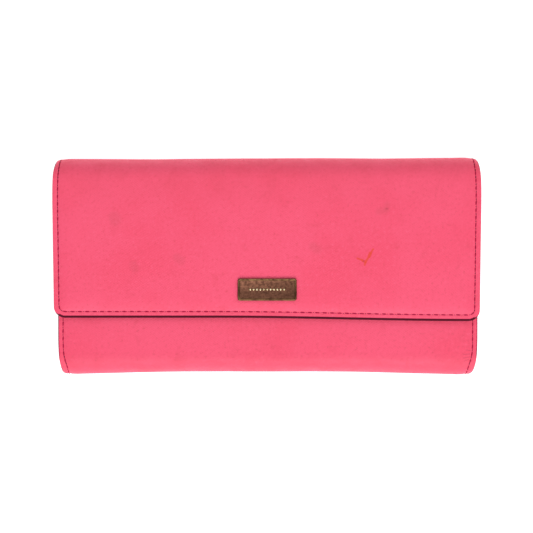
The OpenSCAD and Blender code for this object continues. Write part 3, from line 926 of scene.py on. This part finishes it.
# Each piece of the shell: its stretch of the path, its fold, its leather, and the nodes that the
# leather and the lining stand for
SHELL_PARTS = [
    ("front", 0.0, BACK_SEAM, BOTTOM_BEND, BODY_LEATHER,
     ["front_leather"], ["front_lining", "bottom_fold_lining"]),
    ("back", BACK_SEAM, SPINE_SEAM, TOP_LOW_BEND, BODY_LEATHER,
     ["back_leather"], ["back_lining"]),
    ("flap", SPINE_SEAM, END, TOP_HIGH_BEND, FLAP_LEATHER,
     ["flap_leather", "top_fold_leather"], ["flap_lining", "top_fold_lining"]),
]
for part, s0, s1, bend, leather, leather_nodes, lining_nodes in SHELL_PARTS:
    piece = shell_layer(part + "_shell", [leather, MARGIN, EDGE], s0, s1, leather_faces)
    place(piece, bend=bend, replaces=leather_nodes)
    piece = shell_layer(part + "_lining_cloth", [CLOTH], s0, s1, lining_faces, 0.5, 0.1)
    place(piece, bend=bend, replaces=lining_nodes)

piece = shell_layer("flap_core", [BOARD], FLAP_START + 3, END - 0.001, board_faces, 4.5, 0.1)
place(piece, body="flap", replaces=["flap_board"])

# ---- stitching ----


def shell_route(points):
    """The places and normals of a line drawn on the shell."""
    return [(surface(s, x), normal_at(s)) for s, x in points]


def resample(route, spacing):
    """Evenly spaced places along a route, which is a list of (point, normal)."""
    out = [route[0]]
    need = spacing
    for (a, na), (b, nb) in zip(route, route[1:]):
        size = (b - a).length
        while size >= need:
            t = need / size
            a, na = a.lerp(b, t), na.lerp(nb, t)
            out.append((a.copy(), na.normalized()))
            size = (b - a).length
            need = spacing
        need -= size
    return out


def add_stitch(bm, run, width):
    """One stitch along a run of places, slightly slanted: it rises out of one hole and enters the next."""
    rings = []
    last = len(run) - 1
    for k, (place_on, n) in enumerate(run):
        along = (run[min(k + 1, last)][0] - run[max(k - 1, 0)][0]).normalized()
        side = along.cross(n).normalized()
        swell = math.sin(math.pi * k / last)
        centre = place_on + n * (0.24 * swell - 0.14) + side * 0.1 * (k / last - 0.5)
        r = width * (0.35 + 0.2 * swell)
        rings.append([centre + side * r * u + n * 0.8 * r * v for u, v in around(6)])
    loft(bm, rings)


def add_hole_shade(bm, p, n, along, radius):
    """A needle hole's painted shade: a small dark lens at the surface."""
    side = along.cross(n)
    ring = [bm.verts.new(p + (side * u * 0.7 + along * v * 1.4) * radius) for u, v in around(8)]
    tips = (bm.verts.new(p + n * 0.05), bm.verts.new(p - n * 0.12))
    for i in range(8):
        for tip in tips:
            bm.faces.new((ring[i], ring[(i + 1) % 8], tip)).material_index = 1


# How many steps a stitch and the gap after it are divided into
STITCH_STEPS = 8
HOLE_RADIUS = 0.48


def sew(name, routes, width=0.5, pitch=STITCH_PITCH, holes=True):
    """Rows of stitches that fill their routes. A stitch covers all but two steps of its pitch."""
    bm = bmesh.new()
    for route in routes:
        length = sum((b[0] - a[0]).length for a, b in zip(route, route[1:]))
        marks = resample(route, length / (STITCH_STEPS * round(length / pitch)))
        for i in range(0, len(marks) - STITCH_STEPS + 1, STITCH_STEPS):
            add_stitch(bm, marks[i + 1:i + STITCH_STEPS], width)
            if holes:
                add_hole_shade(bm, *marks[i], (marks[i + 1][0] - marks[i][0]).normalized(), HOLE_RADIUS)
    return finish_mesh(name, bm, [THREAD, HOLE_SHADE])


def side_points(s0, s1, side):
    return [(s, side * (half_width(s) - seam_inset(s))) for s in steps(s0, s1, 1.0)]


def end_points(end):
    """The seam line round a free end, from its left side to its right: a U with two rounded corners."""
    inward = 1 if end == 0 else -1
    s_line = end + inward * seam_inset(end)
    s_corner = end + inward * CORNER_R
    r_end, r_side = CORNER_R - seam_inset(end), CORNER_R - seam_inset(s_corner)
    corner_x = half_width(end) - CORNER_R
    left, right = [], []
    for k in range(7):
        a = math.radians(90 * k / 6)
        s = s_corner - inward * r_end * math.sin(a)
        x = corner_x + r_side * math.cos(a)
        left.append((s, -x))
        right.append((s, x))
    across = [(s_line, x) for x in steps(-corner_x, corner_x, 3.0)]
    return left + across[1:-1] + list(reversed(right))


front_seam = side_points(CORNER_R, BACK_SEAM, -1)[::-1]
front_seam += end_points(0.0) + side_points(CORNER_R, BACK_SEAM, 1)
flap_seam = side_points(SPINE_SEAM, END - CORNER_R, -1) + end_points(END)
flap_seam += side_points(SPINE_SEAM, END - CORNER_R, 1)[::-1]
back_seams = [side_points(BACK_SEAM, SPINE_SEAM, side) for side in (-1, 1)]

for part, runs, bend in (
    ("front", [front_seam], BOTTOM_BEND),
    ("flap", [flap_seam], TOP_HIGH_BEND),
    ("back", back_seams, TOP_LOW_BEND)
):
    piece = sew(part + "_seam_thread", [shell_route(run) for run in runs])
    place(piece, bend=bend, replaces=[part + "_stitching"])


# How far from a panel's sides its seam ends
PANEL_MARGIN = 1.6


def panel_run(lo, hi, y, z):
    """A straight seam across a flat panel, seen from above."""
    a, b = Vector((lo.x + PANEL_MARGIN, y, z)), Vector((hi.x - PANEL_MARGIN, y, z))
    return [(a.lerp(b, t), UP) for t in steps(0.0, 1.0, 0.05)]


# ---- card slots and the front leaf's pocket ----

fine_runs = []
for side_name in ("left", "right"):
    for number in range(1, 5):
        slot_node = f"card_slot_{side_name}_{number}"
        if slot_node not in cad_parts:
            continue
        lo, hi = ends(slot_node)
        piece = flat_panel(slot_node + "_panel", INNER_LEATHER, lo, hi, seed=number * 1.7 + lo.x)
        place(piece, body="back_leaf", replaces=[slot_node])
        fine_runs.append(panel_run(lo, hi, hi.y - 1.8, hi.z - 0.06))
lo, hi = ends("id_pocket_trim")
piece = flat_panel("id_window_trim", INNER_LEATHER, lo, hi, 0.05, 0.1, 5.5)
place(piece, body="back_leaf", replaces=["id_pocket_trim"])
for y in (lo.y + 1.0, hi.y - 1.0):
    fine_runs.append(panel_run(lo, hi, y, hi.z - 0.04))
piece = sew("card_slot_thread", fine_runs, width=0.42, pitch=FINE_PITCH, holes=False)
place(piece, body="back_leaf")

lo, hi = ends("front_slip_pocket")
piece = flat_panel("slip_pocket_panel", CLOTH, lo, hi, 0.1, 0.12, 8.8)
place(piece, body="front_leaf", replaces=["front_slip_pocket"])
lo, hi = ends("front_pocket_trim")
piece = flat_panel("slip_pocket_trim", INNER_LEATHER, lo, hi, 0.05, 0.12, 6.1)
place(piece, body="front_leaf", replaces=["front_pocket_trim"])

# ---- side gussets ----

# The two stretches of a gusset's height that fold inwards, each in the middle of a note compartment
PLEATS = [
    (high("card_slot_left_1").z + 0.1, DIVIDER_LO.z - 0.2),
    (DIVIDER_HI.z + 0.2, low("front_pocket_trim").z - 0.2)
]


GUSSET_THICK = 0.35


def gusset_sheet(side):
    """A soft side wall with two pleats folded inwards, cut round to fit the bottom fold."""
    out = high("gusset_right").x - 0.15
    y_top = high("gusset_right").y + 1
    y_low = BOTTOM_Y + LEATHER + LINING + 0.1
    inner_r = BOTTOM_R - LEATHER - LINING - 0.15
    z_low, z_high = SLOTS_Z + 0.1, FRONT_INSIDE - 0.1
    top, bottom = [], []
    for v in steps(0.0, 1.0, 0.025):
        base_y = mix(y_low, y_top, v)
        below = clamp(BOTTOM_Y + BOTTOM_R - base_y, 0.0, inner_r)
        cut = inner_r - math.sqrt(inner_r**2 - below**2)
        depth = mix(5.0, 8.4, ease(v * 1.2)) * ease(v * 6 + 0.2)
        row = []
        for t in steps(0.0, 1.0, 0.0125):
            z = mix(z_low, z_high, t)
            fold = sum(math.sin(math.pi * clamp((z - a) / (b - a))) ** 1.5 for a, b in PLEATS)
            x = out - depth * fold - 0.5 * drawn_bottom(base_y)
            y = base_y - 3.0 * fold * ease((v - 0.75) / 0.25)
            row.append((Vector((side * x, y, mix(z_low + cut, z_high - cut, t))), (36 * t, y), 0.0))
        top.append(row)
    for row in top:
        other = []
        for j, (p, place_on, paint) in enumerate(row):
            a = row[max(j - 1, 0)][0]
            b = row[min(j + 1, len(row) - 1)][0]
            outward = (b - a).cross(Vector((0, -side, 0))).normalized()
            other.append((p + outward * GUSSET_THICK, place_on, paint))
        bottom.append(other)
    name = "side_gusset_" + ("left" if side < 0 else "right")
    return finish_mesh(name, closed_sheet(top, bottom, 0.12), [INNER_LEATHER])


GUSSET_BEND = ("back_leaf", "front_leaf", metres(0, SLOTS_Z + 0.3), metres(0, FRONT_INSIDE - 0.3))
for side, name in ((-1, "gusset_left"), (1, "gusset_right")):
    place(gusset_sheet(side), bend=GUSSET_BEND, replaces=[name])

# ---- coin divider and its zip ----


def divider_wall(name, z_in, z_out, seed):
    """One wall of the coin pocket, swelling slightly between its bound edges."""
    lo, hi = DIVIDER_LO, DIVIDER_HI
    outward = 1 if z_out > z_in else -1

    def lift(x, y):
        gap = min(x - lo.x, hi.x - x, y - lo.y)
        uneven = 0.1 * noise.noise(Vector((x / 23, y / 17, seed)))
        return outward * (0.22 * (ease(gap / 14) - 0.5) + uneven)

    xs, ys = rim_steps(lo.x, hi.x, 3.0), rim_steps(lo.y, hi.y, 2.0)
    return soft_panel(
        name, INNER_LEATHER, xs, ys,
        lambda x, y: z_out + lift(x, y), lambda x, y: z_in + 0.6 * lift(x, y), 0.16
    )


wall = high("coin_wall_back").z - DIVIDER_LO.z
for node_name, z_in, z_out in (
    ("coin_wall_back", DIVIDER_LO.z + wall, DIVIDER_LO.z),
    ("coin_wall_front", DIVIDER_HI.z - wall, DIVIDER_HI.z)
):
    piece = divider_wall(node_name + "_panel", z_in, z_out, z_out)
    place(piece, body="coin_divider", replaces=[node_name])


def binding(name, lo, hi, node_name):
    """A strip wrapped round an edge of the divider, a little proud of both walls."""
    bm = bmesh.new()
    lo.z, hi.z = DIVIDER_LO.z - 0.1, DIVIDER_HI.z + 0.1
    proud = Vector((0.0, 0.12, 0))
    add_block(bm, lo - proud, hi + proud, 0.5, 3)
    obj = finish_mesh(name, bm, [INNER_LEATHER])
    set_skin(obj, lambda p: (p.x + p.z, p.y, 0.0))
    place(obj, body="coin_divider", replaces=[node_name])


for side_name in ("left", "right"):
    node_name = "coin_side_binding_" + side_name
    lo, hi = ends(node_name)
    lo.y = DIVIDER_LO.y
    hi.y = DIVIDER_HI.y - 0.4
    binding(f"side_binding_{side_name}_strip", lo, hi, node_name)
binding("bottom_binding_strip", *ends("coin_bottom_binding"), "coin_bottom_binding")

divider_runs = []
for z, n in ((DIVIDER_HI.z - 0.05, UP), (DIVIDER_LO.z + 0.05, -UP)):
    xs = steps(DIVIDER_LO.x + 3, DIVIDER_HI.x - 3, 4.0)
    divider_runs.append([(Vector((x, DIVIDER_HI.y - 2.4, z)), n) for x in xs])
piece = sew("coin_pocket_thread", divider_runs, width=0.45, pitch=FINE_PITCH, holes=False)
place(piece, body="coin_divider")

TOOTH_PITCH = 2.0
TOOTH_LENGTH = 0.95


def zip_teeth(name, side):
    """One row of teeth: each has a root over the tape and a head that reaches into the other row."""
    lo, hi = ends(name)
    bm = bmesh.new()
    outer, inner = DIVIDER_MID + side * 1.75, DIVIDER_MID - side * 0.35
    for i in range(int((hi.x - lo.x) / TOOTH_PITCH)):
        x = lo.x + (i + (0.5 if side > 0 else 0.0)) * TOOTH_PITCH
        a = Vector((x, lo.y, min(outer, inner)))
        b = Vector((x + TOOTH_LENGTH, hi.y, max(outer, inner)))
        add_block(bm, a, b, 0.22)
    obj = finish_mesh(name + "_chain", bm, [ZIP_GOLD])
    place(obj, body="coin_divider", replaces=[name])


zip_teeth("zip_teeth_back", -1)
zip_teeth("zip_teeth_front", 1)

STOP_LENGTH = 2.4
bm = bmesh.new()
lo, hi = ends("zip_stops")
for x in (lo.x, hi.x - STOP_LENGTH):
    add_block(bm, Vector((x, lo.y, lo.z)), Vector((x + STOP_LENGTH, hi.y + 0.1, hi.z)), 0.35, 3)
piece = finish_mesh("zip_end_stops", bm, [ZIP_GOLD])
place(piece, body="coin_divider", replaces=["zip_stops"])


def plate_outline(length, nose, tail):
    """A slider plate seen from above: wide shoulders at the nose, rounded, and a narrower tail."""
    points = []
    half = length / 2
    for start, centre, reach, wide in ((-90, half - 1.2, 1.2, nose), (90, 1.0 - half, 1.0, tail)):
        for k in range(11):
            a = math.radians(start + 18 * k)
            points.append((centre + reach * math.cos(a), wide * math.sin(a)))
    return points


def slider_mesh():
    """The slider: a plate with two side walls, a wedge between the rows, and a bow over the pin."""
    lo, hi = ends("zip_slider")
    cx = (lo.x + hi.x) / 2
    plate_y = high("zip_teeth_back").y + 0.2
    outline = plate_outline(hi.x - lo.x, 3.2, 2.5)
    bm = bmesh.new()
    rings = []
    for inset, h in ((0.3, 0.0), (0.0, 0.3), (0.0, 0.7), (0.25, 1.05), (0.8, 1.2)):
        ku, kv = 1 - inset / 4.5, 1 - inset / 3.2
        rings.append([Vector((cx + u * ku, plate_y + h, DIVIDER_MID + v * kv)) for u, v in outline])
    loft(bm, rings)
    for z0 in (-3.2, 2.15):
        a = Vector((lo.x + 1.2, lo.y + 0.7, DIVIDER_MID + z0))
        b = Vector((hi.x - 1.2, plate_y + 0.5, DIVIDER_MID + z0 + 1.05))
        add_block(bm, a, b, 0.3)
    a = Vector((hi.x - 3.4, lo.y, DIVIDER_MID - 0.2))
    b = Vector((hi.x - 1.0, plate_y + 0.3, DIVIDER_MID + 0.2))
    add_block(bm, a, b, 0.08, 1)
    pin = middle("zip_pull_pin")
    foot = plate_y + 1.0 - pin.y
    angles = [math.radians(180 - 18 * k) for k in range(11)]
    bow = [(-1.7, foot)] + [(1.05 * math.cos(a), 1.05 * math.sin(a)) for a in angles] + [(1.7, foot)]
    for side in (-1, 1):
        rings = []
        for inset, t in ((0.12, 0), (0, 0.2), (0, 0.8), (0.12, 1)):
            z = DIVIDER_MID + side * mix(1.1, 1.8, t)
            rings.append([Vector((pin.x + u * (1 - inset), pin.y + v * (1 - inset), z)) for u, v in bow])
        loft(bm, rings)
    return finish_mesh("zip_slider_body", bm, [ZIP_GOLD])


place(slider_mesh(), body="slider", replaces=["zip_slider"])


def pull_mesh():
    """The pull: an eye round the pin, a neck and a drop-shaped tab with a hole."""
    pin = middle("zip_pull_pin")
    bm = bmesh.new()
    eye = 0.96
    profile = [(0.56, 0.1 - eye), (0.7, -eye), (1.05, -eye), (1.2, 0.15 - eye)]
    profile += [(r, -z) for r, z in reversed(profile)]
    loft(bm, [circle(pin, r, pin.z + z, 32) for r, z in profile], closed=True)
    add_block(bm, pin + Vector((-3.2, -0.5, -0.8)), pin + Vector((-0.95, 0.5, 0.8)), 0.2)
    hole_x = low("zip_pull").x + 2.4
    span = pin.x - 2.4 - hole_x
    wide, narrow = 1.95, 1.3
    inner = around(48)
    outer = []
    for dx, dz in inner:
        if dx > 0:
            tall = max(abs(dz), 1e-6)
            reach = min(span / max(dx, 1e-6), wide / tall)
            reach = min(reach, mix(wide, narrow, clamp(dx * reach / span)) / tall)
        else:
            reach = wide + 0.35 * dx * dx
        outer.append((dx * reach, dz * reach))
    rings = []
    for outline, inset, y in (
        (outer, 0.15, -0.5), (outer, 0.0, -0.35), (outer, 0.0, 0.35), (outer, 0.15, 0.5),
        (inner, -0.15, 0.5), (inner, 0.0, 0.35), (inner, 0.0, -0.35), (inner, -0.15, -0.5)
    ):
        ring = []
        for u, v in outline:
            k = 1 - inset / math.hypot(u, v)
            ring.append(Vector((hole_x + u * k, pin.y + y, pin.z + v * k)))
        rings.append(ring)
    loft(bm, rings, closed=True)
    return finish_mesh("zip_pull_tab", bm, [ZIP_GOLD])


place(pull_mesh(), body="pull_tab", replaces=["zip_pull"])

# ---- snap ----

SNAP = (0.0, middle("snap_socket").y)


def snap_part(name, base, profile, body, replaces):
    """A turned part on the snap's axis. Its profile gives radii and heights over its base."""
    bm = bmesh.new()
    loft(bm, [circle(SNAP, r, base + h) for r, h in profile])
    place(finish_mesh(name, bm, [SNAP_GOLD]), body=body, replaces=replaces)


SOCKET_PROFILE = [
    (5.2, -0.5), (5.6, 0.1), (5.6, 0.35), (5.35, 0.6), (4.6, 0.72), (4.3, 0.85), (4.1, 1.15),
    (3.8, 1.28), (3.5, 1.24), (3.32, 1.0), (3.3, 0.3), (3.0, 0.16), (1.6, 0.12), (0.2, 0.12)
]
STUD_PROFILE = [
    (4.6, 0.3), (5.0, -0.05), (4.9, -0.22), (4.4, -0.33), (3.0, -0.36), (2.35, -0.5), (2.3, -0.8),
    (2.6, -0.95), (2.8, -1.15), (2.8, -1.5), (2.55, -1.85), (1.9, -2.02), (0.2, -2.05)
]
socket_base = surface(FRONT_EDGE - SNAP[1], 0.0).z - 0.1
snap_part("snap_socket_cap", socket_base, SOCKET_PROFILE, "front_leaf", ["snap_socket", "snap_socket_post"])
snap_part("snap_stud_cap", low("flap_lining").z, STUD_PROFILE, "flap", ["snap_stud"])

# ---- plaque ----

BEADS = 11
BEAD_PITCH = 1.5
# The rim's profile, as distance in from the plate's edge and height, and a bead's, as radius and height
RIM_PROFILE = [
    (0.1, -0.3), (0.0, 0.0), (0.0, 0.85), (0.12, 1.12), (0.32, 1.24), (0.55, 1.24), (0.75, 1.12), (0.92, 0.9),
    (1.05, 0.8)
]
BEAD_PROFILE = [(0.5, -0.1), (0.5, 0.06), (0.44, 0.2), (0.3, 0.31), (0.12, 0.36)]


def flap_height(y):
    """The height of the flap's surface at its middle."""
    return surface(FLAP_START + TOP_Y - TOP_R - y, 0.0).z


def plaque_mesh():
    """A metal plate: a raised round rim, a sunk brushed face, and a row of beads across the face."""
    lo, hi = ends("plaque")
    cx, cy = (lo.x + hi.x) / 2 + 0.15, (lo.y + hi.y) / 2 - 0.42
    half_x, half_y = (hi.x - lo.x) / 2 + 0.08, (hi.y - lo.y) / 2 + 0.05
    base = flap_height(cy) - 0.05
    bm = bmesh.new()
    rings = []
    for inset, h in RIM_PROFILE:
        corner = max(1.1 - inset * 0.6, 0.3)
        rings.append(round_rect((cx, cy), half_x - inset, half_y - inset, corner, base + h))
    loft(bm, rings)
    bm.faces.ensure_lookup_table()
    face = max(bm.faces, key=lambda f: f.calc_center_median().z if len(f.verts) > 4 else -1)
    face.material_index = 1
    top = base + RIM_PROFILE[-1][1]
    for i in range(BEADS):
        x = cx + (i - (BEADS - 1) / 2) * BEAD_PITCH
        loft(bm, [circle((x, cy), r, top + h, 16) for r, h in BEAD_PROFILE], 2)
    return finish_mesh("plaque_plate", bm, [PLAQUE_RIM, PLAQUE_FACE, PLAQUE_BEAD])


place(plaque_mesh(), body="flap", replaces=["plaque"])


def backing_plates():
    """The two small plates that the plaque's prongs fold over, in the board, above the lining."""
    lo, hi = ends("plaque_backing_plate")
    size = hi.y - lo.y
    top = flap_height(hi.y) - LEATHER - 0.05
    bm = bmesh.new()
    for x in (lo.x, hi.x - size):
        add_block(bm, Vector((x, lo.y, top - 0.3)), Vector((x + size, hi.y, top)), 0.1)
    return finish_mesh("plaque_backing_plates", bm, [SNAP_GOLD])


place(backing_plates(), body="flap", replaces=["plaque_backing_plate"])

# ---- materials of the nodes that stay ----

KEPT = {
    "back_board": BOARD, "front_board": BOARD, "id_pocket_film": FILM, "zip_tape_back": TAPE,
    "zip_tape_front": TAPE, "zip_pull_pin": ZIP_GOLD, "snap_stud_rivet": SNAP_GOLD
}
for node_name, material in KEPT.items():
    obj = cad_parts[node_name]
    obj.data.materials.clear()
    obj.data.materials.append(material)

# ---- floor, light and camera ----

FLOOR_HALF = 1500
FLOOR_Z = -0.3
bm = bmesh.new()
bmesh.ops.create_grid(bm, x_segments=8, y_segments=8, size=FLOOR_HALF)
bmesh.ops.translate(bm, verts=bm.verts, vec=(0, 0, FLOOR_Z))
floor = finish_mesh("studio_floor", bm, [FLOOR])

world = bpy.data.worlds.new("studio")
bpy.context.scene.world = world
world.use_nodes = True
background = world.node_tree.nodes["Background"]
background.inputs["Color"].default_value = (1, 1, 1, 1)
background.inputs["Strength"].default_value = 0.6


def softbox(name, spot, size, watts):
    """A square softbox that faces the middle of the wallet."""
    data = bpy.data.lights.new(name, "AREA")
    data.shape = "SQUARE"
    data.size = size
    data.energy = watts
    obj = bpy.data.objects.new(name, data)
    obj.location = spot
    obj.rotation_euler = (-Vector(spot)).to_track_quat("-Z", "Y").to_euler()
    bpy.context.scene.collection.objects.link(obj)


softbox("key_softbox", (0.12, -1.1, 1.15), 0.9, 14)
softbox("fill_softbox", (0.5, 1.0, 1.4), 1.0, 4)

PHOTO_WIDTH_MM = 236.4
CAMERA_HEIGHT = 1200
data = bpy.data.cameras.new("camera")
camera = bpy.data.objects.new("camera", data)
data.sensor_width = 36
data.lens = data.sensor_width * (CAMERA_HEIGHT - FLAP_Z) / PHOTO_WIDTH_MM
data.clip_start = 0.01
data.clip_end = 10
camera.location = (-0.15 * MM, -0.3 * MM, CAMERA_HEIGHT * MM)
bpy.context.scene.collection.objects.link(camera)
bpy.context.scene.camera = camera
bpy.context.scene.view_settings.view_transform = "Standard"
